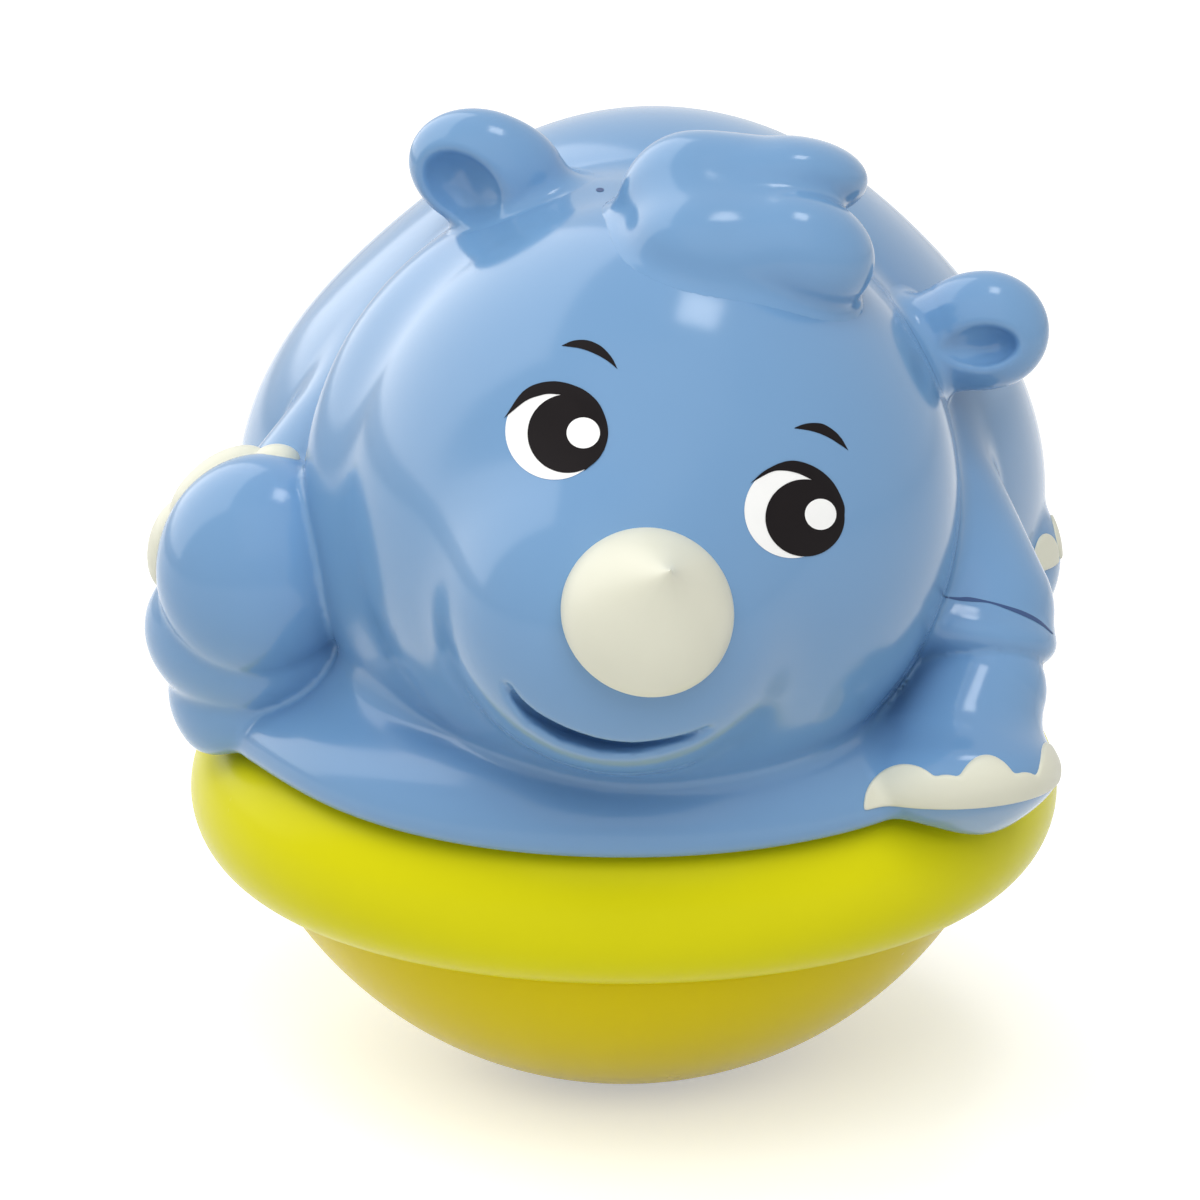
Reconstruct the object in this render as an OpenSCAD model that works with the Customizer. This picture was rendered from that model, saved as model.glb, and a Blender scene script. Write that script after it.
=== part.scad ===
// Roly poly toy: a hollow rhinoceros lying on a rounded, weighted base that always rights itself.
// Millimetres. The origin is the middle of the flat foot, Z is up and the animal faces -Y.

/* [Base] */
// outside radius of the rolling bowl
bowl_r = 56; // [54:0.5:59]
// radius of the flat foot under the bowl
foot_r = 8; // [6:0.5:10]
// wall of the bowl
bowl_wall = 2.4; // [2:0.1:2.8]
// radius of the rim ring's centre line
ring_r = 48; // [47:0.5:50]
// radius of the rim ring's round section
ring_tube_r = 12; // [11:0.25:12.5]
// height of the rim ring's centre line
ring_z = 41; // [40.5:0.5:44]
// wall of the rim ring
ring_wall = 2; // [1.6:0.1:2.4]

/* [Body] */
// wall of the body halves
shell_wall = 2.2; // [1.8:0.1:2.6]
// how far the parting plane of the halves lies in front of the middle
seam_front = 20; // [18:0.5:22]
// radius of each flank
flank_r = 36; // [34:0.5:38]
// how far each flank's middle lies to the side
flank_side = 20.5; // [19:0.5:22]
// radius of the raised back
back_r = 44; // [42:0.5:46]
// radius of the belly roll's section
belly_tube_r = 7; // [6.25:0.25:7.5]

/* [Head] */
// radius of the head
head_r = 40.2; // [39:0.1:41.5]
// sideways lean of the head, degrees
head_roll = 16.5; // [12:0.5:20]
// backward tilt of the head, degrees
head_tilt = 16.2; // [13:0.2:19]
// turn of the head to its left, degrees
head_turn = 4; // [0:0.5:8]
// half width of the muzzle
muzzle_rx = 21; // [19:0.5:23]
// radius of the horn at its base
horn_r = 10.6; // [9.5:0.1:11.5]
// length of the horn
horn_l = 17; // [14:0.5:20]
// half width of an ear
ear_rx = 9.25; // [8.25:0.25:10.25]

/* [Feet] */
// radius of the raised foot's sole
sole_r = 13.7; // [13:0.1:14.5]
// half width of the planted foot
paw_rx = 14.8; // [14:0.1:16]
// radius of a hind foot
hind_r = 13; // [12:0.25:14]
// thickness of a toenail
nail_t = 0.7; // [0.5:0.05:1]

/* [Weight and chime] */
// radius of the ballast weight
ballast_r = 27; // [25:0.5:28]
// thickness of the ballast weight
ballast_t = 13; // [11:0.5:14]
// length of the striker from pin to ball centre
striker_l = 14; // [13:0.25:15]
// radius of the striker's ball
striker_ball_r = 4.5; // [4:0.1:5]
// radius of a chime rod
rod_r = 1.5; // [1.2:0.1:1.8]

/* [Hidden] */
$fn = 72;
overrun = 1;
seat_gap = 0.05;
ring_gap = 0.7;
deck_fit = 0.3;
peg_fit = 0.1;
run_fit = 0.08;
print_t = 0.2;

// base
bowl_z = sqrt(bowl_r * bowl_r - foot_r * foot_r);
bowl_in_r = bowl_r - bowl_wall;
shoulder_z = ring_z - ring_tube_r - seat_gap;
neck_r = ring_r - ring_tube_r - ring_gap;
neck_bore_r = neck_r - bowl_wall;
deck_z = ring_z + ring_tube_r + ring_gap;
neck_top = deck_z - seat_gap;
ring_slot = 8;
bead_r = 0.7;
bead_drop = 9;

// deck
deck_in = 4;
deck_r = ring_r - deck_in;
deck_t = 2.4;
deck_top = deck_z + deck_t;
collar_r = neck_bore_r - peg_fit;
collar_wall = 2.2;
collar_drop = 13;
lug_r = 4;
lug_h = 6;
lug_bite = 4;
lug_angle = 58;
deck_screw_r = 1.3;
deck_screw_l = 6.5;
deck_screw_head_r = 2.4;
deck_screw_head_t = 1.6;
deck_screw_clear = 1.3;
deck_screw_at = neck_r + deck_screw_clear + deck_screw_head_r;

// flanks, back, chest and belly: places are from the axis and above the deck's underside
flank_x = 2.5;
flank_back = 1;
flank_y = flank_r + flank_back - seam_front;
flank_rise = 23.8;
back_x = 4;
back_front = 41;
back_y = back_r - back_front;
back_top = 81;
back_rise = back_top - back_r;
chest_y = -12;
chest_rise = 0.3;
chest_rz = 12;
chest_in = 5;
chest_short = 11;
belly_over = 3;
belly_r = ring_r + belly_over;
chest_rx = belly_r - chest_in;
chest_ry = belly_r - chest_short;
belly_rise = -1.2;
nape_x = -0.4;
nape_y = -24;
nape_rise = 33.5;
nape_in = 9.2;
nape_r = head_r - nape_in;
nape_tube_r = 11;
nape_tilt = 11.3;

// head and muzzle
head_x = 3.3;
head_y = -30.5;
head_rise = 35.3;
muzzle_ry = 17;
muzzle_rz = 16.5;
muzzle_x = -2.5;
muzzle_sink = 9.2;
muzzle_out = head_r - muzzle_sink;
muzzle_drop = 14;
jaw_rx = 16;
jaw_ry = 13;
jaw_rz = 13.4;
jaw_x = -2;
jaw_sink = 11.2;
jaw_out = head_r - jaw_sink;
jaw_drop = 20;

// horn
horn_drop = 14.4;
horn_pitch = 20;
horn_sink = 4;
horn_taper_share = 1.45;
horn_steps = 24;
horn_peg_r = 4;
horn_peg_l = 5;
horn_seat = sqrt(1 - pow(muzzle_x / muzzle_rx, 2)) * muzzle_ry + muzzle_out;

// ears and hair, measured out from the head's surface
ear_lean = 45;
ear_y = 1;
ear_ry = 6.5;
ear_rz = 7.8;
ear_out = 8.6;
ear_twist = 50;
ear_cup_rx = 6.2;
ear_cup_ry = 6.2;
ear_cup_rz = 3.6;
ear_cup_x = 2.7;
ear_cup_y = -6;
ear_cup_out = 6.5;
ear_cup_twist = 66;
ear_collar_r = 6.4;
ear_collar_t = 4;
ear_peg_r = 3.5;
ear_peg_l = 5;
tuft_tilt = 26;
tuft_peg_r = 4;
tuft_peg_l = 10;
tuft_front_rx = 10.8;
tuft_front_ry = 9.5;
tuft_front_rz = 8.2;
tuft_front_x = 6.5;
tuft_front_y = -4.2;
tuft_front_out = 0;
tuft_front_lean = -6.5;
tuft_side_rx = 10.4;
tuft_side_ry = 9.5;
tuft_side_rz = 11.4;
tuft_side_x = -5.3;
tuft_side_y = 1.6;
tuft_side_out = -1.05;
tuft_side_lean = -40.5;
tuft_top_rx = 10.8;
tuft_top_ry = 9;
tuft_top_rz = 5.6;
tuft_top_x = 3.8;
tuft_top_y = 7;
tuft_top_out = 5.7;
tuft_top_lean = -8.5;

// eye prints in the head's own front view
eye_r = 6.4;
eye_x = -16.5;
eye_z = 4.2;
eye_pitch = 31.3;
eye_step = -1;
pupil_r = 5.05;
pupil_dx = 1.5;
pupil_dz = -0.4;
glint_r = 2.05;
glint_dx = 3.4;
glint_dz = 0.4;
lid_r = 6.9;
lid_dz = 0.7;
brow_half = 3.6;
brow_sag = 2;
brow_under = 0.9;
brow_dx = 1.6;
brow_dz = 10.1;

// raised foreleg: sole, two rolls and the upper arm behind them
leg_tilt = 16.2;
sole_x = -48.4;
sole_y = -23;
sole_rise = 24.2;
sole_ry = 13.2;
sole_rz = 15;
sole_lean = 12;
roll_x = -50.1;
roll_y = -19;
roll_rise = 15.3;
roll_rx = 13.8;
roll_ry = 13.5;
roll_rz = 12.5;
roll_lean = 8;
cuff_x = -48.3;
cuff_y = -17;
cuff_rise = 5.1;
cuff_rx = 13;
cuff_ry = 13.5;
cuff_rz = 11.2;
cuff_lean = 12;
upper_x = -27.1;
upper_y = -5;
upper_rise = 44.2;
upper_r = 14;
upper_l = 33;
upper_reach = -14.6;
upper_lean = 41;

// planted foreleg: upper arm, fold, wrist and paw
arm_x = 40.1;
arm_y = -15;
arm_rise = 27.5;
arm_r = 12.8;
arm_l = 25.5;
arm_lean = -29.4;
arm_reach = -31.3;
fold_x = 44.7;
fold_y = -25;
fold_rise = 15.6;
fold_rx = 12;
fold_ry = 11;
fold_rz = 5.6;
fold_lean = 10;
wrist_x = 44.9;
wrist_y = -33.5;
wrist_rise = 3.8;
wrist_r = 11.5;
wrist_l = 15;
wrist_lean = 20.5;
wrist_reach = -30.9;
paw_x = 42;
paw_y = -39;
paw_rise = -0.4;
paw_ry = 14;
paw_rz = 7.4;
paw_lean = 3;
paw_sole_rise = -11.5;

// hind feet
hind_x = 46;
hind_mid = 2;
hind_y = 12;
hind_rise = 15.5;

// toenails
nail_r = 6.2;
nail_count = 3;
sole_nail_at = 13.6;
sole_nail_back = 5;
sole_nail_l = 8;
sole_nail_w = 2.9;
sole_nail_d = 4.5;
sole_nail_angles = [173, 121, 80];
sole_nail_shares = [0.8, 1, 0.45];
paw_nail_first = -112;
paw_nail_step = 50;
paw_nail_drop = 1;
hind_nail_first = -34;
hind_nail_step = 42;
hind_nail_drop = 4;

// ballast and the screws that clamp it
ballast_y = 5;
ballast_z = 9;
ballast_gap = 0.5;
post_r = 4;
post_count = 3;
post_at = 15;
clamp_r = 1.5;
clamp_fit = 0.2;
clamp_head_r = 2.8;
clamp_head_t = 2;
clamp_bite = 3.4;

// chime
tray_r = 20;
tray_t = 2.4;
tray_z = ballast_z + ballast_t + seat_gap;
tray_top = tray_z + tray_t;
cheek_x = 9;
cheek_t = 3;
cheek_w = 8;
pin_r = 1.25;
pin_over = 1.5;
ball_lift = 1.2;
pin_z = tray_top + ball_lift + striker_ball_r + striker_l;
hub_r = 3.6;
hub_l = 12;
stem_r = 1.4;
swing = 24;
rod_clear = 0.5;
rod_l = 18;
rod_bite = 1.8;
rod_x = 4.5;
rod_y = striker_l * sin(swing) + striker_ball_r + rod_clear + rod_r;

head_z = deck_z + head_rise;
span = 2 * (ring_r + ring_tube_r + head_r);

blue = "#7fa9da";
lime = "#d9d52a";
cream = "#e6e5d6";
black = "#231f20";
white = "#f8f8f6";
iron = "#4a4b4e";
steel = "#b9bcc0";

// an egg with its three half axes
module egg(rx, ry, rz) {
    scale([rx, ry, rz]) sphere(r = 1);
}

// the head's own frame: X to its left hand as seen, -Y out of the face, Z to the crown
module on_head() {
    translate([head_x, head_y, head_z])
        rotate([-head_tilt, 0, 0])
        rotate([0, head_roll, 0])
        rotate([0, 0, head_turn])
        children();
}

// the seat of the horn on the front of the muzzle, Z out along the horn
module on_muzzle() {
    on_head()
        translate([0, -horn_seat, -horn_drop])
        rotate([90 - horn_pitch, 0, 0])
        children();
}

// the seat of an ear on the head, side is -1 or 1, Z out of the head
module on_ear(side) {
    on_head()
        translate([0, ear_y, 0])
        rotate([0, side * ear_lean, 0])
        translate([0, 0, head_r])
        children();
}

// the seat of the tuft on the crown, Z out of the head
module on_crown() {
    on_head()
        rotate([tuft_tilt, 0, 0])
        translate([0, 0, head_r])
        children();
}

// the space of the rim ring, grown by a clearance
module ring_space(grow) {
    translate([0, 0, ring_z])
        rotate_extrude()
        translate([ring_r, 0])
        circle(r = ring_tube_r + grow);
}

// the round body forms, each pulled in by a depth
module torso(inset) {
    translate([back_x, back_y, deck_z + back_rise])
        sphere(r = back_r - inset);
    translate([0, 0, deck_z + belly_rise])
        rotate_extrude()
        translate([belly_r, 0])
        circle(r = belly_tube_r - inset);
    translate([head_x, head_y, head_z])
        sphere(r = head_r - inset);
    nape(inset);
}

// the roll of skin round the neck, behind the cheeks
module nape(inset) {
    translate([nape_x, nape_y, deck_z + nape_rise])
        rotate([90 - nape_tilt, 0, 0])
        rotate_extrude()
        translate([nape_r, 0])
        circle(r = nape_tube_r - inset);
}

module chest(inset) {
    translate([0, chest_y, deck_z + chest_rise])
        egg(chest_rx - inset, chest_ry - inset, chest_rz - inset);
}

module muzzle(inset) {
    on_head()
        translate([muzzle_x, -muzzle_out, -muzzle_drop])
        egg(muzzle_rx - inset, muzzle_ry - inset, muzzle_rz - inset);
}

// the jaw under the muzzle
module jaw(inset) {
    on_head()
        translate([jaw_x, -jaw_out, -jaw_drop])
        egg(jaw_rx - inset, jaw_ry - inset, jaw_rz - inset);
}

// the upper arm of the raised foreleg
module upper_arm(inset) {
    translate([upper_x, upper_y, deck_z + upper_rise])
        rotate([upper_reach, upper_lean, 0])
        egg(upper_r - inset, upper_r - inset, upper_l - inset);
}

module arm(inset) {
    translate([arm_x, arm_y, deck_z + arm_rise])
        rotate([arm_reach, arm_lean, 0])
        egg(arm_r - inset, arm_r - inset, arm_l - inset);
}

// tilts back a form of the forelegs and leans it sideways
module leaning(lean) {
    rotate([-leg_tilt, 0, 0])
        rotate([0, lean, 0])
        children();
}

module raised_leg(inset) {
    translate([sole_x, sole_y, deck_z + sole_rise])
        leaning(sole_lean)
        egg(sole_r - inset, sole_ry - inset, sole_rz - inset);
    translate([roll_x, roll_y, deck_z + roll_rise])
        leaning(roll_lean)
        egg(roll_rx - inset, roll_ry - inset, roll_rz - inset);
    translate([cuff_x, cuff_y, deck_z + cuff_rise])
        leaning(cuff_lean)
        egg(cuff_rx - inset, cuff_ry - inset, cuff_rz - inset);
}

module paw(inset) {
    translate([paw_x, paw_y, deck_z + paw_rise])
        leaning(paw_lean)
        egg(paw_rx - inset, paw_ry - inset, paw_rz - inset);
}

module planted_leg(inset) {
    translate([fold_x, fold_y, deck_z + fold_rise])
        leaning(fold_lean)
        egg(fold_rx - inset, fold_ry - inset, fold_rz - inset);
    translate([wrist_x, wrist_y, deck_z + wrist_rise])
        rotate([wrist_reach, wrist_lean, 0])
        egg(wrist_r - inset, wrist_r - inset, wrist_l - inset);
    paw(inset);
}

module flanks(inset) {
    for (side = [-1, 1])
        translate([flank_x + side * flank_side, flank_y, deck_z + flank_rise])
        sphere(r = flank_r - inset);
}

module hind_foot(side, inset) {
    translate([hind_mid + side * hind_x, hind_y, deck_z + hind_rise])
        sphere(r = hind_r - inset);
}

module front_form(inset) {
    torso(inset);
    chest(inset);
    muzzle(inset);
    jaw(inset);
    upper_arm(inset);
    arm(inset);
    planted_leg(inset);
}

module rear_form(inset) {
    torso(inset);
    flanks(inset);
    upper_arm(inset);
    arm(inset);
    hind_foot(-1, inset);
    hind_foot(1, inset);
}

// everything in front of the parting plane and above the soles
module front_side() {
    translate([-span, -seam_front - span, deck_z + paw_sole_rise])
        cube([2 * span, span, span]);
}

// everything behind the parting plane
module rear_side() {
    translate([-span, -seam_front, 0])
        cube([2 * span, span, span]);
}

// the free space inside the body, low over the deck
module core() {
    cylinder(r = deck_r, h = deck_top + lug_h);
}

// the round opening that the deck closes
module deck_opening() {
    cylinder(r = deck_r + deck_fit, h = deck_top + seat_gap);
}

// the two lugs of one half, from its lower wall in over the deck's edge
module lugs(turn) {
    for (side = [-1, 1])
        rotate([0, 0, turn + side * (90 - lug_angle)])
        translate([0, deck_screw_at, deck_z]) {
            cylinder(r = lug_r, h = deck_t + lug_h);
            translate([-lug_r, 0, 0])
                cube([2 * lug_r, deck_r + lug_bite - deck_screw_at, deck_t + lug_h]);
        }
}

// places one thing at each deck screw of one half
module at_deck_screws(turn) {
    for (side = [-1, 1])
        rotate([0, 0, turn + side * (90 - lug_angle)])
        translate([0, deck_screw_at, deck_z])
        children();
}

// the sockets that the horn, the ears and the tuft plug into
module sockets() {
    on_muzzle()
        translate([0, 0, -horn_peg_l - horn_sink - overrun])
        cylinder(r = horn_peg_r + peg_fit, h = horn_peg_l + horn_sink + horn_sink);
    for (side = [-1, 1])
        on_ear(side)
        translate([0, 0, -ear_peg_l - overrun])
        cylinder(r = ear_peg_r + peg_fit, h = ear_peg_l + ear_peg_l);
    on_crown()
        translate([0, 0, -tuft_peg_l - overrun])
        cylinder(r = tuft_peg_r + peg_fit, h = tuft_peg_l + tuft_peg_l);
}

module front_shell() {
    color(blue)
    difference() {
        union() {
            difference() {
                union() {
                    intersection() {
                        front_form(0);
                        front_side();
                    }
                    raised_leg(0);
                }
                ring_space(ring_gap);
                difference() {
                    union() {
                        front_form(shell_wall);
                        raised_leg(shell_wall);
                        core();
                    }
                    ring_space(ring_gap + shell_wall);
                }
            }
            lugs(180);
        }
        deck_opening();
        sockets();
        at_deck_screws(180) cylinder(r = deck_screw_r, h = deck_screw_l);
    }
}

module rear_shell() {
    color(blue)
    difference() {
        union() {
            difference() {
                intersection() {
                    rear_form(0);
                    rear_side();
                }
                ring_space(ring_gap);
                raised_leg(-seat_gap);
                difference() {
                    union() {
                        rear_form(shell_wall);
                        core();
                    }
                    ring_space(ring_gap + shell_wall);
                }
            }
            lugs(0);
        }
        deck_opening();
        sockets();
        at_deck_screws(0) cylinder(r = deck_screw_r, h = deck_screw_l);
    }
}

// the rolling bowl with its shoulder, neck, snap groove and ballast posts
module bowl() {
    color(lime)
    difference() {
        union() {
            difference() {
                intersection() {
                    translate([0, 0, bowl_z]) sphere(r = bowl_r);
                    cylinder(r = bowl_r, h = shoulder_z);
                }
                intersection() {
                    translate([0, 0, bowl_z]) sphere(r = bowl_in_r);
                    cylinder(r = bowl_r, h = shoulder_z - bowl_wall);
                }
            }
            translate([0, 0, shoulder_z - bowl_wall])
                cylinder(r = neck_r, h = neck_top - shoulder_z + bowl_wall);
            intersection() {
                at_posts() cylinder(r = post_r, h = ballast_z - seat_gap);
                translate([0, 0, bowl_z]) sphere(r = bowl_r - bowl_wall / 2);
            }
        }
        translate([0, 0, shoulder_z - bowl_wall - overrun])
            cylinder(r = neck_bore_r, h = neck_top - shoulder_z + bowl_wall + 2 * overrun);
        translate([0, 0, deck_z - bead_drop])
            rotate_extrude()
            translate([neck_bore_r, 0])
            circle(r = bead_r + peg_fit);
        at_posts()
            translate([0, 0, ballast_z - clamp_bite])
            cylinder(r = clamp_r, h = clamp_bite + overrun);
    }
}

module at_posts() {
    translate([0, ballast_y, 0])
        for (i = [0 : post_count - 1])
        rotate([0, 0, 90 + 360 * i / post_count])
        translate([post_at, 0, 0])
        children();
}

// the hollow rim ring, slotted on its inside around the neck
module rim_ring() {
    color(lime)
    translate([0, 0, ring_z])
        rotate_extrude()
        translate([ring_r, 0])
        difference() {
            circle(r = ring_tube_r);
            circle(r = ring_tube_r - ring_wall);
            translate([-ring_tube_r - overrun, -ring_slot / 2])
                square([ring_tube_r + overrun, ring_slot]);
        }
}

// the plate that closes the animal's underside and snaps into the bowl's neck
module deck() {
    color(blue)
    difference() {
        union() {
            translate([0, 0, deck_z]) cylinder(r = deck_r, h = deck_t);
            translate([0, 0, deck_z - collar_drop]) cylinder(r = collar_r, h = collar_drop + deck_t / 2);
            translate([0, 0, deck_z - bead_drop])
                rotate_extrude()
                translate([collar_r, 0])
                circle(r = bead_r);
        }
        translate([0, 0, deck_z - collar_drop - overrun])
            cylinder(r = collar_r - collar_wall, h = collar_drop + overrun);
        for (turn = [0, 180])
            at_deck_screws(turn)
            translate([0, 0, -overrun])
            cylinder(r = deck_screw_r + clamp_fit, h = deck_t + 2 * overrun);
    }
}

module deck_screws() {
    color(steel)
    for (turn = [0, 180])
        at_deck_screws(turn) {
            translate([0, 0, -deck_screw_head_t - seat_gap])
                cylinder(r = deck_screw_head_r, h = deck_screw_head_t);
            translate([0, 0, -deck_screw_head_t])
                cylinder(r = deck_screw_r - seat_gap, h = deck_screw_l + deck_screw_head_t - overrun);
        }
}

// the horn: a round foot that draws in to a blunt point, with a peg behind it
module horn() {
    color(cream) {
        difference() {
            on_muzzle() {
                rotate_extrude()
                    polygon(concat(
                        [[0, -horn_sink], [horn_r, -horn_sink]],
                        [for (i = [0 : horn_steps])
                            let (s = i / horn_steps)
                            [horn_r * pow(cos(90 * s), horn_taper_share), horn_l * s]]));
            }
            muzzle(-seat_gap);
        }
        on_muzzle()
            translate([0, 0, -horn_peg_l])
            cylinder(r = horn_peg_r, h = horn_peg_l + horn_sink);
    }
}

// an ear: a cupped leaf on a collar, with a peg that the two halves hold
module ear(side) {
    color(blue) {
        difference() {
            on_ear(side) {
                difference() {
                    translate([0, 0, ear_out])
                        rotate([90, -side * ear_twist, 0])
                        egg(ear_rx, ear_rz, ear_ry);
                    translate([side * ear_cup_x, ear_cup_y, ear_cup_out])
                        rotate([0, -side * ear_cup_twist, 0])
                        egg(ear_cup_rx, ear_cup_ry, ear_cup_rz);
                }
                cylinder(r1 = ear_collar_r, r2 = ear_collar_r - ear_collar_t / 2, h = ear_collar_t);
                translate([0, 0, -ear_collar_t])
                    cylinder(r = ear_collar_r, h = ear_collar_t);
            }
            translate([head_x, head_y, head_z]) sphere(r = head_r + seat_gap);
            translate([back_x, back_y, deck_z + back_rise]) sphere(r = back_r + seat_gap);
            nape(-seat_gap);
        }
        on_ear(side)
            translate([0, 0, -ear_peg_l])
            cylinder(r = ear_peg_r, h = ear_peg_l + ear_collar_t);
    }
}

module ear_left() {
    ear(-1);
}

module ear_right() {
    ear(1);
}

// stands a lobe of the tuft upright in the head's frame and leans it sideways
module lobe(lean) {
    rotate([-tuft_tilt, 0, 0])
        rotate([0, lean, 0])
        children();
}

// the tuft of hair: three swept lobes on one peg
module hair_tuft() {
    color(blue) {
        difference() {
            on_crown() {
                translate([tuft_front_x, tuft_front_y, tuft_front_out])
                    lobe(tuft_front_lean) egg(tuft_front_rx, tuft_front_ry, tuft_front_rz);
                translate([tuft_side_x, tuft_side_y, tuft_side_out])
                    lobe(tuft_side_lean) egg(tuft_side_rx, tuft_side_ry, tuft_side_rz);
                translate([tuft_top_x, tuft_top_y, tuft_top_out])
                    lobe(tuft_top_lean) egg(tuft_top_rx, tuft_top_ry, tuft_top_rz);
            }
            translate([head_x, head_y, head_z]) sphere(r = head_r + seat_gap);
            translate([back_x, back_y, deck_z + back_rise]) sphere(r = back_r + seat_gap);
            nape(-seat_gap);
        }
        on_crown()
            translate([0, 0, -tuft_peg_l])
            cylinder(r = tuft_peg_r, h = tuft_peg_l + tuft_top_out);
    }
}

// three nails that stand out behind the edge of the sole
module nails_raised_foot() {
    color(cream)
    difference() {
        translate([sole_x, sole_y + sole_nail_back, deck_z + sole_rise])
            for (i = [0 : nail_count - 1])
            rotate([0, -sole_nail_angles[i], 0])
            translate([sole_nail_at, 0, 0])
            egg(sole_nail_w, sole_nail_d, sole_nail_l * sole_nail_shares[i]);
        raised_leg(-seat_gap);
        rear_form(-seat_gap);
    }
}

// the skin of the planted foot, as thick as a toenail
module nails_planted_foot() {
    color(cream)
    intersection() {
        difference() {
            paw(-nail_t);
            planted_leg(-seat_gap);
            chest(-seat_gap);
            torso(-seat_gap);
            ring_space(ring_gap);
        }
        front_side();
        for (i = [0 : nail_count - 1])
            translate([paw_x, paw_y, deck_z + paw_rise - paw_nail_drop])
            rotate([0, 0, paw_nail_first + paw_nail_step * i])
            translate([paw_rx, 0, 0])
            sphere(r = nail_r);
    }
}

module nails_hind(side) {
    color(cream)
    intersection() {
        difference() {
            hind_foot(side, -nail_t);
            rear_form(-seat_gap);
        }
        for (i = [0 : nail_count - 1])
            translate([hind_mid + side * hind_x, hind_y, deck_z + hind_rise - hind_nail_drop])
            scale([side, 1, 1])
            rotate([0, 0, hind_nail_first + hind_nail_step * i])
            translate([hind_r, 0, 0])
            sphere(r = nail_r);
    }
}

module nails_hind_left() {
    nails_hind(-1);
}

module nails_hind_right() {
    nails_hind(1);
}

// a print on the head: the head's skin where a flat drawing falls on the face
module print_on_head() {
    intersection() {
        difference() {
            translate([head_x, head_y, head_z]) sphere(r = head_r + seat_gap + print_t);
            translate([head_x, head_y, head_z]) sphere(r = head_r + seat_gap);
        }
        on_head()
            rotate([90, 0, 0])
            linear_extrude(height = 2 * head_r)
            children();
    }
}

// places one drawing at each eye, both turned the same way
module at_eyes() {
    for (i = [0, 1])
        translate([eye_x + i * eye_pitch, eye_z + i * eye_step])
        children();
}

module pupil_drawing() {
    difference() {
        translate([pupil_dx, pupil_dz]) circle(r = pupil_r);
        translate([glint_dx, glint_dz]) circle(r = glint_r);
    }
}

module eye_whites() {
    color(white)
    print_on_head()
        at_eyes() {
            difference() {
                circle(r = eye_r);
                translate([pupil_dx, pupil_dz]) circle(r = pupil_r);
                translate([0, lid_dz]) lid_drawing();
            }
            translate([glint_dx, glint_dz]) circle(r = glint_r - seat_gap);
        }
}

// the upper lid line: a crescent over the eye
module lid_drawing() {
    difference() {
        circle(r = lid_r);
        translate([0, -2 * lid_dz]) circle(r = lid_r);
    }
}

module eye_blacks() {
    color(black)
    print_on_head()
        at_eyes() {
            pupil_drawing();
            translate([0, lid_dz]) lid_drawing();
        }
}

// a brow: the sliver between two arcs that share their ends
module eyebrows() {
    outer_r = (brow_half * brow_half + brow_sag * brow_sag) / (2 * brow_sag);
    under_r = (brow_half * brow_half + brow_under * brow_under) / (2 * brow_under);
    color(black)
    print_on_head()
        at_eyes()
        translate([brow_dx, brow_dz])
        difference() {
            translate([0, brow_sag - outer_r]) circle(r = outer_r);
            translate([0, brow_under - under_r]) circle(r = under_r);
        }
}

// the cast weight, rounded to the bowl below
module ballast() {
    color(iron)
    difference() {
        intersection() {
            translate([0, ballast_y, ballast_z]) cylinder(r = ballast_r, h = ballast_t);
            translate([0, 0, bowl_z]) sphere(r = bowl_in_r - ballast_gap);
        }
        at_posts()
            translate([0, 0, ballast_z - overrun])
            cylinder(r = clamp_r + clamp_fit, h = ballast_t + 2 * overrun);
    }
}

// the long screws that hold the tray and the weight down on the posts
module clamp_screws() {
    color(steel)
    at_posts() {
        translate([0, 0, tray_top + seat_gap])
            cylinder(r = clamp_head_r, h = clamp_head_t);
        translate([0, 0, ballast_z - clamp_bite + seat_gap])
            cylinder(r = clamp_r - seat_gap, h = tray_top - ballast_z + clamp_bite + clamp_head_t / 2);
    }
}

// the tray of the chime with the two cheeks that carry the pin
module chime_tray() {
    color(white)
    difference() {
        union() {
            translate([0, ballast_y, tray_z]) cylinder(r = tray_r, h = tray_t);
            for (side = [-1, 1])
                translate([side * cheek_x - cheek_t / 2, ballast_y - cheek_w / 2, tray_z + tray_t / 2])
                cube([cheek_t, cheek_w, pin_z - tray_z - tray_t / 2]);
            for (side = [-1, 1])
                translate([side * cheek_x - cheek_t / 2, ballast_y, pin_z])
                rotate([0, 90, 0])
                cylinder(r = cheek_w / 2, h = cheek_t);
        }
        translate([-cheek_x - cheek_t, ballast_y, pin_z])
            rotate([0, 90, 0])
            cylinder(r = pin_r, h = 2 * (cheek_x + cheek_t));
        at_posts()
            translate([0, 0, tray_z - overrun])
            cylinder(r = clamp_r + clamp_fit, h = tray_t + 2 * overrun);
        at_rods()
            translate([0, 0, tray_top - rod_bite])
            cylinder(r = rod_r, h = rod_bite + overrun);
    }
}

module at_rods() {
    for (front = [-1, 1])
        for (side = [-1, 1])
        translate([side * rod_x, ballast_y + front * rod_y, 0])
        children();
}

// the chime rods, pressed upright into the tray
module chime_rods() {
    color(steel)
    at_rods()
        translate([0, 0, tray_top - rod_bite + seat_gap])
        cylinder(r = rod_r - seat_gap, h = rod_l);
}

module striker_pin() {
    color(steel)
    translate([-cheek_x - cheek_t / 2 - pin_over, ballast_y, pin_z])
        rotate([0, 90, 0])
        cylinder(r = pin_r - seat_gap, h = 2 * cheek_x + cheek_t + 2 * pin_over);
}

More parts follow.
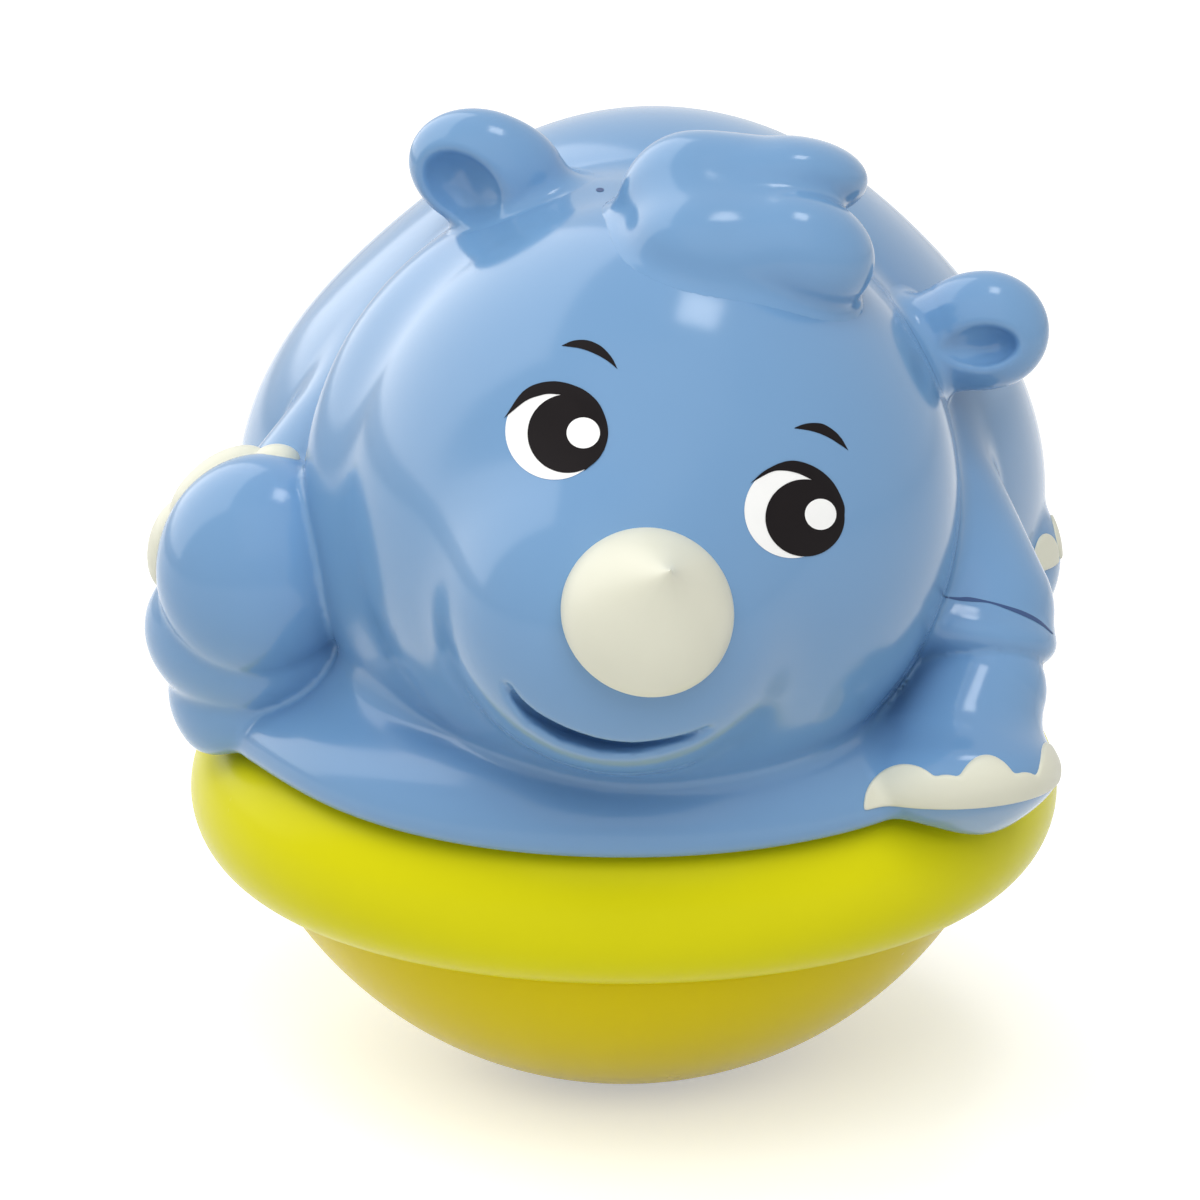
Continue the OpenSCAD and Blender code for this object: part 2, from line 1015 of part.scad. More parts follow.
// the striker: a hub on the pin, a stem and a ball
module striker() {
    color(steel)
    difference() {
        union() {
            translate([-hub_l / 2, ballast_y, pin_z])
                rotate([0, 90, 0])
                cylinder(r = hub_r, h = hub_l);
            translate([0, ballast_y, pin_z - striker_l])
                cylinder(r = stem_r, h = striker_l);
            translate([0, ballast_y, pin_z - striker_l])
                sphere(r = striker_ball_r);
        }
        translate([-hub_l, ballast_y, pin_z])
            rotate([0, 90, 0])
            cylinder(r = pin_r - seat_gap + run_fit, h = 2 * hub_l);
    }
}

bowl();
rim_ring();
deck();
deck_screws();
front_shell();
rear_shell();
horn();
ear_left();
ear_right();
hair_tuft();
nails_raised_foot();
nails_planted_foot();
nails_hind_left();
nails_hind_right();
eye_whites();
eye_blacks();
eyebrows();
ballast();
clamp_screws();
chime_tray();
chime_rods();
striker_pin();
striker();
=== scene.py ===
"""Looks of the roly poly toy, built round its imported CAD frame.

The form functions below give signed distances in millimetres in the part's own frame: the flat foot lies on
z = 0 and the animal faces -y. Values named px are places in the 1200 x 1200 photograph.
"""
import math

import bmesh
import bpy
import numpy as np
from mathutils import Matrix, Vector


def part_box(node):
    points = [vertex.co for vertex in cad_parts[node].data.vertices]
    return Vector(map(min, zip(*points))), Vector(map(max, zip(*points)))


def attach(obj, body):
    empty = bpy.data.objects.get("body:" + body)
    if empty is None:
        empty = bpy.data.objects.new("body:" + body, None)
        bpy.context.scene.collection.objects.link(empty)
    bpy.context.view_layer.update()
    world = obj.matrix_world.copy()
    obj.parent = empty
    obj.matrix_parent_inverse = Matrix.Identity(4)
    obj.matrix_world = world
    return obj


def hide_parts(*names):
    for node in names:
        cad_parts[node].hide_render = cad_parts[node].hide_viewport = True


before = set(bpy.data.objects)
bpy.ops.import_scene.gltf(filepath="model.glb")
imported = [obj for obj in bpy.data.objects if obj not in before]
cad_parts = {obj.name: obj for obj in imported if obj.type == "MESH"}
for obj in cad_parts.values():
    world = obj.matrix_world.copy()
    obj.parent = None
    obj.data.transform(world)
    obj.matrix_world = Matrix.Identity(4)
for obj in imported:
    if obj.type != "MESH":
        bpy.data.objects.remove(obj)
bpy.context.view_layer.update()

MM = 0.001

# View of the photograph
PHOTO_SIZE = 1200
VIEW_ELEV = np.radians(16.2)
VIEW_DIST = 700.0
VIEW_SCALE = 7.27                    # photograph pixels per millimetre at the aim
VIEW_AIM = np.array([-3.3, 0.0, 66.5])
VIEW_FOCAL = VIEW_SCALE * VIEW_DIST  # focal length in photograph pixels
RIGHT = np.array([1.0, 0.0, 0.0])
UP = np.array([0.0, np.sin(VIEW_ELEV), np.cos(VIEW_ELEV)])
INTO = np.array([0.0, np.cos(VIEW_ELEV), -np.sin(VIEW_ELEV)])
EYE = VIEW_AIM - VIEW_DIST * INTO


def sight(px, py):
    """Directions of the lines of sight through photograph pixels."""
    half = PHOTO_SIZE / 2
    px, py = np.asarray(px, float)[..., None], np.asarray(py, float)[..., None]
    d = INTO + (px - half) / VIEW_FOCAL * RIGHT + (half - py) / VIEW_FOCAL * UP
    return d / np.linalg.norm(d, axis=-1, keepdims=True)


def at(px, py, y):
    """The point that shows at a pixel and has this y."""
    d = sight(px, py)
    return EYE + (y - EYE[1]) / d[1] * d


# Distance helpers
FAR = 1e3


def length(q):
    return np.sqrt((q * q).sum(-1))


def ease(t):
    t = np.clip(t, 0, 1)
    return t * t * (3 - 2 * t)


def turned(axis, degrees):
    """Rotation matrix about an axis."""
    return np.array(Matrix.Rotation(math.radians(degrees), 3, Vector(axis)))


def in_view(degrees=0.0):
    """Frame of the picture plane, turned clockwise: columns along, into the picture, and up."""
    c, s = np.cos(np.radians(degrees)), np.sin(np.radians(degrees))
    return np.stack([c * RIGHT - s * UP, INTO, s * RIGHT + c * UP], 1)


def seen_egg(px, py, y, radii, turn=0.0):
    """Centre, radii and axes of an egg that is placed by a pixel and a y, and turned in the picture."""
    return at(px, py, y), radii, in_view(turn)


def ball(p, centre, r):
    return length(p - centre) - r


def egg(p, centre, radii, axes=None):
    q = p - centre
    if axes is not None:
        q = q @ axes
    radii = np.asarray(radii, float)
    near = length(q / radii)
    return near * (near - 1) / np.maximum(length(q / (radii * radii)), 1e-9)


def limb(p, a, b, ra, rb):
    """A round limb that tapers from ra at a to rb at b."""
    ab = b - a
    h = np.clip(((p - a) @ ab) / (ab @ ab), 0, 1)
    return length(p - a - h[:, None] * ab) - (ra + (rb - ra) * h)


def hoop(p, centre, normal, big, small):
    """A round tube of radius small on a circle of radius big."""
    normal = np.asarray(normal, float) / np.linalg.norm(normal)
    q = p - centre
    h = q @ normal
    return np.hypot(length(q - h[:, None] * normal) - big, h) - small


def join(a, b, k):
    """Union with the crease filled over the width k."""
    h = np.maximum(k - np.abs(a - b), 0) / k
    return np.minimum(a, b) - h * h * k / 4


def melt(a, b, k):
    """Union with the crease filled over the width k without a line where the filling starts."""
    h = np.maximum(k - np.abs(a - b), 0) / k
    return np.minimum(a, b) - h * h * h * k / 6


def cut(a, b, k):
    """a without b, with the edge rounded over the width k."""
    return -join(-a, b, k)


def both(a, b, k):
    """What a and b share, with the edge rounded over the width k."""
    return -join(-a, -b, k)


# Forms of the toy
ring_low, ring_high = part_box("rim_ring")
RING_AT = np.array([0, 0, (ring_low.z + ring_high.z) / 2 / MM])
RING_TUBE_R = (ring_high.z - ring_low.z) / 2 / MM
RING_R = (ring_high.x - ring_low.x) / 2 / MM - RING_TUBE_R
RING_GAP = 1.1       # from the ring to the lower edge of the animal
EDGE_ROUND = 4.5
SEAM_Y = -20.0       # the plane where the two halves of the animal meet
UNDERSIDE_Z = 42.0
UPRIGHT = (0, 0, 1)

HEAD_C = np.array([3.3, -30.5, 89.0])
HEAD_R = 40.2
HEAD_NOD = -16.2     # degrees about x; the next two are about y and z
HEAD_TILT = 16.5
HEAD_TURN = 4.0
HEAD_AXES = turned((1, 0, 0), HEAD_NOD) @ turned((0, 1, 0), HEAD_TILT) @ turned((0, 0, 1), HEAD_TURN)
MUZZLE_AT = np.array([-2.5, -31.0, -14.0])
MUZZLE_RADII = (19.0, 17.0, 16.5)
MUZZLE_BLEND = 16.0
JAW_AT = np.array([-2.0, -29.0, -20.0])
JAW_RADII = (16.0, 13.0, 13.4)
JAW_BLEND = 12.0


def on_head(local):
    """Head places to the part's frame."""
    return HEAD_C + HEAD_AXES @ np.asarray(local, float)


def bare_head_form(p):
    """Face, jaw and muzzle melted together."""
    d = melt(ball(p, HEAD_C, HEAD_R), egg(p, on_head(JAW_AT), JAW_RADII, HEAD_AXES), JAW_BLEND)
    return melt(d, egg(p, on_head(MUZZLE_AT), MUZZLE_RADII, HEAD_AXES), MUZZLE_BLEND)


SIGHT_START = VIEW_DIST - 120.0      # how far along its line of sight the search for a surface starts
SIGHT_STEP = 0.9


def met(px, py, form, rounds=60):
    """Points where lines of sight through pixels meet a form."""
    d = sight(px, py).reshape(-1, 3)
    t = np.full(len(d), SIGHT_START)
    for _ in range(rounds):
        t += form(EYE + t[:, None] * d) * SIGHT_STEP
    return EYE + t[:, None] * d


MOUTH_PX = [
    (508, 688), (517, 703), (533, 719), (564, 737), (600, 748), (632, 750), (660, 746), (690, 738),
    (706, 731),
]
MOUTH_R = [0.15, 0.5, 0.9, 1.25, 1.15, 0.85, 0.6, 0.35, 0.15]
MOUTH_LAYERS = 5     # rounds of the slot, each one radius further in than the last
MOUTH_EDGE = 1.4
MOUTH_ROOM = 10.0
MOUTH_INWARD = 0.93 * INTO + 0.37 * UP
MOUTH = met(*np.array(MOUTH_PX).T, bare_head_form)
MOUTH_MIDDLE = MOUTH.mean(0)
MOUTH_REACH = length(MOUTH - MOUTH_MIDDLE).max() + MOUTH_ROOM


def head_form(p):
    """The head with the slot of its mouth, cut in and up under the muzzle."""
    d = bare_head_form(p)
    near = length(p - MOUTH_MIDDLE) < MOUTH_REACH
    q = p[near]
    slot = np.full(len(q), FAR)
    for layer in range(MOUTH_LAYERS):
        for a, b, ra, rb in zip(MOUTH, MOUTH[1:], MOUTH_R, MOUTH_R[1:]):
            a, b = a + layer * ra * MOUTH_INWARD, b + layer * rb * MOUTH_INWARD
            slot = np.minimum(slot, limb(q, a, b, ra, rb))
    d[near] = cut(d[near], slot, MOUTH_EDGE)
    return d


NECK_AT = at(622, 500, -24)
NECK_FACING = (0.05, -1.0, 0.2)
NECK_BIG_R = 31.0
NECK_SMALL_R = 11.0


def neck_form(p):
    return hoop(p, NECK_AT, NECK_FACING, NECK_BIG_R, NECK_SMALL_R)


BACK_AT = np.array([4.0, 3.0, 90.0])
BACK_R = 44.0
FLANKS_MIDDLE = np.array([2.5, 17.0, 77.5])
FLANK_OUT = 20.5
FLANK_R = 36.0
FLANK_BLEND = 14.0
BELLY_AT = np.array([0, -1.0, 53.0])
BELLY_BIG_R = 50.5
BELLY_SMALL_R = 7.0
BELLY_BLEND = 4.0
SHOULDER_AT = at(425, 722, -26.5)
SHOULDER_RADII = (15.0, 14.0, 14.5)
SHOULDER_BLEND = 6.0
CHEST_AT = np.array([0, -21.3, 52.5])
CHEST_RADII = (46.0, 40.0, 12.0)
CHEST_BLEND = 5.0


def trunk_form(p):
    """Back, flanks, belly, left shoulder and chest."""
    d = ball(p, BACK_AT, BACK_R)
    for side in (-1, 1):
        d = join(d, ball(p, FLANKS_MIDDLE + side * FLANK_OUT * RIGHT, FLANK_R), FLANK_BLEND)
    d = join(d, hoop(p, BELLY_AT, UPRIGHT, BELLY_BIG_R, BELLY_SMALL_R), BELLY_BLEND)
    d = join(d, egg(p, SHOULDER_AT, SHOULDER_RADII), SHOULDER_BLEND)
    return join(d, egg(p, CHEST_AT, CHEST_RADII), CHEST_BLEND)


HIND_MIDDLE = np.array([2.0, 12.0, 69.2])
HIND_OUT = 46.0
HIND_R = 13.0
HIND_BLEND = 1.0


def hind_at(side):
    """Middle of a hind foot; side is -1 on the left of the photograph and 1 on its right."""
    return HIND_MIDDLE + side * HIND_OUT * RIGHT


def hind_form(p):
    return np.minimum(ball(p, hind_at(-1), HIND_R), ball(p, hind_at(1), HIND_R))


SOLE = seen_egg(260, 566, -23, (13.7, 13.2, 15.0), 12)
WRIST_ROLL = seen_egg(256, 632, -18, (15.0, 13.0, 12.0), 8)
FOREARM_ROLL = seen_egg(264, 694, -15, (13.0, 12.0, 11.4), 12)
ROLL_BLEND = 1.0
SOLE_BLEND = 0.8


def raised_form(p):
    """Raised foreleg: sole, wrist roll and forearm roll."""
    rolls = join(egg(p, *WRIST_ROLL), egg(p, *FOREARM_ROLL), ROLL_BLEND)
    return join(rolls, egg(p, *SOLE), SOLE_BLEND)


CUFF = seen_egg(964, 631, -25, (12.4, 11.4, 5.4), 10)
PAW_WRIST = (at(980, 690, -30), at(957, 755, -36), 8.8, 11.0)
PAW_TOES = seen_egg(946, 776, -39, (14.8, 14.0, 7.2), -4)
PAW_BLEND = 3.0
CUFF_BLEND = 0.4


def paw_form(p):
    """Planted foreleg below the arm: cuff, wrist and toes."""
    paw = join(limb(p, *PAW_WRIST), egg(p, *PAW_TOES), PAW_BLEND)
    return join(paw, egg(p, *CUFF), CUFF_BLEND)


ARM = (at(880, 440, -8), at(968, 612, -22), 12.5, 11.5)
UPPER_ARM = (at(517, 274, 0), at(330, 500, -10), 13.0, 12.0)
ARM_BLEND = 2.0
NECK_BLEND = 7.0
HEAD_BLEND = 2.5
PAW_TO_TRUNK = 1.5
LEG_TO_TRUNK = 1.0


def rest_form(p):
    """The blue moulding without the raised foreleg."""
    d = join(trunk_form(p), hind_form(p), HIND_BLEND)
    d = join(d, limb(p, *ARM), ARM_BLEND)
    d = join(d, limb(p, *UPPER_ARM), ARM_BLEND)
    d = join(d, join(head_form(p), neck_form(p), NECK_BLEND), HEAD_BLEND)
    return join(d, paw_form(p), PAW_TO_TRUNK)


def animal_form(p):
    """The whole blue moulding, both halves together, above the ring."""
    d = join(rest_form(p), raised_form(p), LEG_TO_TRUNK)
    d = np.maximum(d, UNDERSIDE_Z - p[:, 2])
    return cut(d, hoop(p, RING_AT, UPRIGHT, RING_R, RING_TUBE_R + RING_GAP), EDGE_ROUND)


def seated(own, rest, blend, reach, sink=0.05):
    """A piece that flows into the moulding under it and ends just under its surface."""
    return np.maximum(join(own, rest + sink, blend), own - reach)


EAR_LEFT = seen_egg(484, 170, -20, (10.0, 6.5, 7.8), 18)
EAR_LEFT_HOLLOW = seen_egg(461, 191, -27, (6.6, 6.5, 4.4), 38)
EAR_LEFT_STALK = (at(520, 185, -18), at(548, 222, -18), 5.6, 7.0)
EAR_LEFT_RIM = 1.4
EAR_RIGHT = seen_egg(986, 330, -20, (8.3, 6.5, 7.8), 6)
EAR_RIGHT_HOLLOW = seen_egg(975, 347, -27, (5.8, 6.0, 2.8), -4)
EAR_RIGHT_STALK = (at(950, 335, -18), at(925, 345, -18), 6.0, 7.0)
EAR_RIGHT_RIM = 1.2
EARS = {
    "ear_left": (EAR_LEFT, EAR_LEFT_HOLLOW, EAR_LEFT_STALK, EAR_LEFT_RIM),
    "ear_right": (EAR_RIGHT, EAR_RIGHT_HOLLOW, EAR_RIGHT_STALK, EAR_RIGHT_RIM),
}
STALK_BLEND = 4.0
EAR_SEAT = 2.5
EAR_REACH = 3.0


def ear_form(leaf, hollow, stalk, rim):
    """A cupped leaf on a stalk."""
    def form(p):
        cupped = cut(egg(p, *leaf), egg(p, *hollow), rim)
        return seated(join(cupped, limb(p, *stalk), STALK_BLEND), animal_form(p), EAR_SEAT, EAR_REACH)
    return form


TUFT_FRONT = seen_egg(790, 254, -42, (10.8, 9.5, 8.2), 10)
TUFT_SIDE = seen_egg(702, 223, -35.5, (10.8, 9.5, 12.0), -24)
TUFT_MIDDLE = seen_egg(702, 258, -44, (9.6, 8.0, 7.6), 20)
TUFT_TOP = seen_egg(788, 178, -32.5, (10.2, 9.5, 5.4), 3)
TUFT_SIDE_BLEND = 5.0
TUFT_MIDDLE_BLEND = 4.0
TUFT_GROOVE = 2.5    # blend of the top lobe at its free end
TUFT_MELT = 2.0      # what is added to that blend towards the side lobe
TUFT_MELT_X = 24.0
TUFT_MELT_WIDTH = 10.0
TUFT_SEAT = 2.5
TUFT_REACH = 2.0


def tuft_form(p):
    """Swept lobes of hair with a groove under the top one."""
    lower = join(egg(p, *TUFT_FRONT), egg(p, *TUFT_SIDE), TUFT_SIDE_BLEND)
    lower = join(lower, egg(p, *TUFT_MIDDLE), TUFT_MIDDLE_BLEND)
    blend = TUFT_GROOVE + TUFT_MELT * ease((TUFT_MELT_X - p[:, 0]) / TUFT_MELT_WIDTH)
    return seated(join(lower, egg(p, *TUFT_TOP), blend), animal_form(p), TUFT_SEAT, TUFT_REACH)


NAIL_PROUD = 0.3
NAIL_ROUND = 0.4
PLANTED_NAILS = [
    seen_egg(905, 806, -52, (5.3, 9.0, 5.4)),
    seen_egg(981, 803, -48, (5.4, 9.0, 7.0)),
    seen_egg(1044, 791, -41, (4.6, 9.0, 6.4)),
]
NAIL_BRIDGES = [seen_egg(945, 797, -50, (3.6, 9.0, 3.2)), seen_egg(1016, 793, -45, (3.6, 9.0, 3.6))]
BRIDGE_BLEND = 0.6
PLANTED_NAIL_Z = at(905, 806, -50)[2]
RAISED_NAILS = [
    seen_egg(176, 545, -18, (3.7, 4.5, 6.3), 12),
    seen_egg(220, 489, -18, (7.8, 4.5, 4.3), -38),
    seen_egg(277, 464, -18, (3.4, 4.0, 2.7)),
]
HIND_NAILS = [((10.5, -7.0, 1.8), 3.5), ((13.0, 0.0, 2.8), 3.6), ((10.5, 7.0, 1.8), 3.5)]
HIND_NAIL_Z = 69.6


def eggs_form(p, eggs):
    """Plain union of eggs."""
    return np.minimum.reduce([egg(p, *e) for e in eggs])


def nail_skin(p, toes, bottom_z):
    """The animal's skin within the toes and above a height, a little proud."""
    return both(both(animal_form(p) - NAIL_PROUD, toes, NAIL_ROUND), bottom_z - p[:, 2], NAIL_ROUND)


def nails_planted_form(p):
    toes = eggs_form(p, PLANTED_NAILS)
    for bridge in NAIL_BRIDGES:
        toes = join(toes, egg(p, *bridge), BRIDGE_BLEND)
    return nail_skin(p, toes, PLANTED_NAIL_Z)


def nails_raised_form(p):
    return eggs_form(p, RAISED_NAILS)


def hind_nails_form(side):
    def form(p):
        toes = [ball(p, hind_at(side) + np.array([side * x, y, z]), r) for (x, y, z), r in HIND_NAILS]
        return nail_skin(p, np.minimum.reduce(toes), HIND_NAIL_Z)
    return form


# Meshes from forms
BLOCK = 8            # cells along a side of the blocks in which a form is first looked at
NEAR_BLOCKS = 1.5    # blocks further than this from the surface are left out
LONGEST_STEP = 0.4
LEAST_SLOPE = 0.2
CORNERS = np.array([(i, j, k) for i in (0, 1) for j in (0, 1) for k in (0, 1)])
EDGES = [(a, b) for a in range(8) for b in range(a + 1, 8) if abs(CORNERS[a] - CORNERS[b]).sum() == 1]


def in_chunks(form, p, size=200000):
    return np.concatenate([form(p[i:i + size]) for i in range(0, len(p), size)])


def slope(form, p, h=0.02):
    """Gradient of a form by central differences."""
    g = np.zeros_like(p)
    for axis in range(3):
        e = np.zeros(3)
        e[axis] = h
        g[:, axis] = (in_chunks(form, p + e) - in_chunks(form, p - e)) / (2 * h)
    return g


def settle(form, p, rounds=3):
    """Moves points onto the form's surface."""
    for _ in range(rounds):
        g = slope(form, p)
        step = in_chunks(form, p) / np.maximum((g * g).sum(1), LEAST_SLOPE)
        p = p - np.clip(step, -LONGEST_STEP, LONGEST_STEP)[:, None] * g
    return p


def sampled(form, low, shape, pitch):
    """The form on a grid; blocks far from the surface only keep their sign."""
    blocks = np.array(shape) // BLOCK
    grid = np.stack(np.meshgrid(*[np.arange(b) for b in blocks], indexing="ij"), -1).reshape(-1, 3)
    middle = in_chunks(form, low + (grid + 0.5) * BLOCK * pitch)
    values = np.ones(np.array(shape) + 1, np.float32)
    wanted = np.zeros(np.array(shape) + 1, bool)
    for (i, j, k), d in zip(grid * BLOCK, middle):
        near = abs(d) < NEAR_BLOCKS * BLOCK * pitch
        s = np.s_[i:i + BLOCK + 1, j:j + BLOCK + 1, k:k + BLOCK + 1]
        if near:
            wanted[s] = True
        elif d < 0:
            values[s] = -1
    where = np.argwhere(wanted)
    values[wanted] = in_chunks(form, low + where * pitch)
    return values


def net(form, low, high, pitch):
    """Vertices and quads of the form's surface, from a surface net whose points are moved onto the form."""
    low = np.asarray(low, float)
    shape = (np.ceil((np.asarray(high, float) - low) / pitch / BLOCK) * BLOCK).astype(int)
    v = sampled(form, low, shape, pitch)
    inside = v < 0
    count = sum(inside[i:shape[0] + i, j:shape[1] + j, k:shape[2] + k].astype(np.int8) for i, j, k in CORNERS)
    cells = np.argwhere((count > 0) & (count < 8))
    c = np.stack([v[tuple((cells + o).T)] for o in CORNERS], 1).astype(float)
    total, hits = np.zeros((len(cells), 3)), np.zeros(len(cells))
    for a, b in EDGES:
        cross = (c[:, a] < 0) != (c[:, b] < 0)
        t = c[cross, a] / (c[cross, a] - c[cross, b])
        total[cross] += CORNERS[a] + t[:, None] * (CORNERS[b] - CORNERS[a])
        hits[cross] += 1
    points = low + (cells + total / hits[:, None]) * pitch
    number = np.full(shape, -1, np.int32)
    number[tuple(cells.T)] = np.arange(len(cells))
    quads = []
    for axis in range(3):
        u, w = (axis + 1) % 3, (axis + 2) % 3
        one, two = [slice(None)] * 3, [slice(None)] * 3
        one[axis], two[axis] = slice(0, -1), slice(1, None)
        change = inside[tuple(one)] != inside[tuple(two)]
        edge = np.argwhere(change)
        edge = edge[(edge[:, u] > 0) & (edge[:, w] > 0) & (edge[:, u] < shape[u]) & (edge[:, w] < shape[w])]
        du, dw = np.eye(3, dtype=int)[u], np.eye(3, dtype=int)[w]
        q = np.stack([number[tuple((edge - o).T)] for o in (du + dw, dw, 0 * du, du)], 1)
        outward = inside[tuple(edge.T)]
        quads.append(np.where(outward[:, None], q, q[:, ::-1]))
    return settle(form, points), np.concatenate(quads)


# Materials
PLASTIC_IOR = 1.5
TONE_DETAIL = 2.0
ROUGH_DETAIL = 3.0
GRAIN_DETAIL = 2.0


def srgb(r, g, b):
    """Colour from 0-255 values as seen on screen."""
    c = np.array([r, g, b]) / 255
    return (*np.where(c <= 0.04045, c / 12.92, ((c + 0.055) / 1.055) ** 2.4), 1.0)


def material(name, tone, other, size, rough, rough_spread, grain, grain_depth, metal=0.0, shine=0.5):
    """Two close tones mottled at a size in millimetres, a roughness that wanders and a fine moulded grain."""
    m = bpy.data.materials.new(name)
    m.use_nodes = True
    nodes, links = m.node_tree.nodes, m.node_tree.links
    shader = nodes["Principled BSDF"]
    shader.inputs["Metallic"].default_value = metal
    shader.inputs["IOR"].default_value = PLASTIC_IOR
    shader.inputs["Specular IOR Level"].default_value = shine
    place = nodes.new("ShaderNodeTexCoord")

    def noise(width, detail):
        n = nodes.new("ShaderNodeTexNoise")
        n.inputs["Scale"].default_value = 1 / (width * MM)
        n.inputs["Detail"].default_value = detail
        links.new(place.outputs["Object"], n.inputs["Vector"])
        return n.outputs["Fac"]

    mottle = nodes.new("ShaderNodeMix")
    mottle.data_type = "RGBA"
    mottle.inputs["A"].default_value = tone
    mottle.inputs["B"].default_value = other
    links.new(noise(size, TONE_DETAIL), mottle.inputs["Factor"])
    links.new(mottle.outputs["Result"], shader.inputs["Base Color"])
    spread = nodes.new("ShaderNodeMapRange")
    spread.inputs["To Min"].default_value = rough - rough_spread
    spread.inputs["To Max"].default_value = rough + rough_spread
    links.new(noise(size / 3, ROUGH_DETAIL), spread.inputs["Value"])
    links.new(spread.outputs["Result"], shader.inputs["Roughness"])
    bump = nodes.new("ShaderNodeBump")
    bump.inputs["Strength"].default_value = 1.0
    bump.inputs["Distance"].default_value = grain_depth * MM
    links.new(noise(grain, GRAIN_DETAIL), bump.inputs["Height"])
    links.new(bump.outputs["Normal"], shader.inputs["Normal"])
    return m


def blue_plastic():
    """Glossy light blue of the animal."""
    tones = srgb(113, 155, 196), srgb(106, 149, 192)
    return material("blue_plastic", *tones, size=30, rough=0.15, rough_spread=0.02, grain=6, grain_depth=0.01)


def lime_plastic():
    """Lime yellow of the ring."""
    tones = srgb(225, 219, 20), srgb(219, 213, 18)
    return material("lime_plastic", *tones, size=30, rough=0.26, rough_spread=0.03,
                    grain=6, grain_depth=0.01, shine=0.06)


def bowl_lime_plastic():
    """Warmer lime yellow of the bowl."""
    tones = srgb(226, 206, 12), srgb(219, 199, 10)
    return material("bowl_lime_plastic", *tones, size=30, rough=0.26, rough_spread=0.03,
                    grain=6, grain_depth=0.01, shine=0.06)


def cream_plastic():
    """Cream of the horn and the nails."""
    tones = srgb(224, 223, 204), srgb(219, 218, 198)
    return material("cream_plastic", *tones, size=8, rough=0.42, rough_spread=0.04, grain=3, grain_depth=0.01)


def white_ink():
    """White of the eyes."""
    tones = srgb(250, 250, 248), srgb(244, 244, 242)
    return material("white_ink", *tones, size=4, rough=0.3, rough_spread=0.05, grain=1, grain_depth=0.004)


def black_ink():
    """Black of the eyes and the brows."""
    tones = srgb(30, 26, 27), srgb(25, 22, 23)
    return material("black_ink", *tones, size=4, rough=0.5, rough_spread=0.05,
                    grain=1, grain_depth=0.004, shine=0.08)


def seam_shade():
    """Shade in the parting line."""
    tones = srgb(58, 84, 128), srgb(50, 74, 116)
    return material("seam_shade", *tones, size=4, rough=0.6, rough_spread=0.1, grain=1, grain_depth=0.01)


def cast_iron():
    """Raw iron of the ballast."""
    tones = srgb(70, 70, 72), srgb(58, 58, 60)
    return material("cast_iron", *tones, size=4, rough=0.6, rough_spread=0.1,
                    grain=1.0, grain_depth=0.15, metal=0.9)


def bright_steel():
    """Screws, rods and pin."""
    tones = srgb(190, 192, 196), srgb(178, 180, 184)
    return material("bright_steel", *tones, size=3, rough=0.25, rough_spread=0.06,
                    grain=0.5, grain_depth=0.01, metal=1.0)


def white_nylon():
    """Deck, chime tray and striker."""
    tones = srgb(225, 225, 220), srgb(217, 217, 211)
    return material("white_nylon", *tones, size=12, rough=0.45, rough_spread=0.05, grain=2, grain_depth=0.02)


BLUE = blue_plastic()
LIME = lime_plastic()
BOWL_LIME = bowl_lime_plastic()
CREAM = cream_plastic()
WHITE_INK = white_ink()
BLACK_INK = black_ink()
SEAM_DARK = seam_shade()
IRON = cast_iron()
STEEL = bright_steel()
TRAY = white_nylon()


# Pieces
def piece(name, points, faces, look, slot, *nodes):
    """A mesh of millimetre points that rides on the toy and stands for CAD nodes."""
    mesh = bpy.data.meshes.new(name)
    mesh.from_pydata((np.asarray(points) * MM).tolist(), [], [list(map(int, f)) for f in faces])
    mesh.shade_smooth()
    mesh.materials.append(look)
    obj = bpy.data.objects.new(name, mesh)
    bpy.context.scene.collection.objects.link(obj)
    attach(obj, "toy")
    if nodes:
        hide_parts(*nodes)


def parted(points, faces):
    """The moulding parted at the seam plane, with the raised foreleg whole on its front half."""
    mesh = bpy.data.meshes.new("whole")
    mesh.from_pydata(points.tolist(), [], faces.tolist())
    bm = bmesh.new()
    bm.from_mesh(mesh)
    bpy.data.meshes.remove(mesh)
    everything = bm.verts[:] + bm.edges[:] + bm.faces[:]
    bmesh.ops.bisect_plane(bm, geom=everything, plane_co=(0, SEAM_Y, 0), plane_no=(0, 1, 0))
    middle = np.array([f.calc_center_median() for f in bm.faces])
    front = (middle[:, 1] < SEAM_Y) | (in_chunks(raised_form, middle) < in_chunks(rest_form, middle))
    return bm, front


CAP_DEPTH = 0.8
CAP_SIDES = 12       # faces with more sides than this are caps, which stay flat


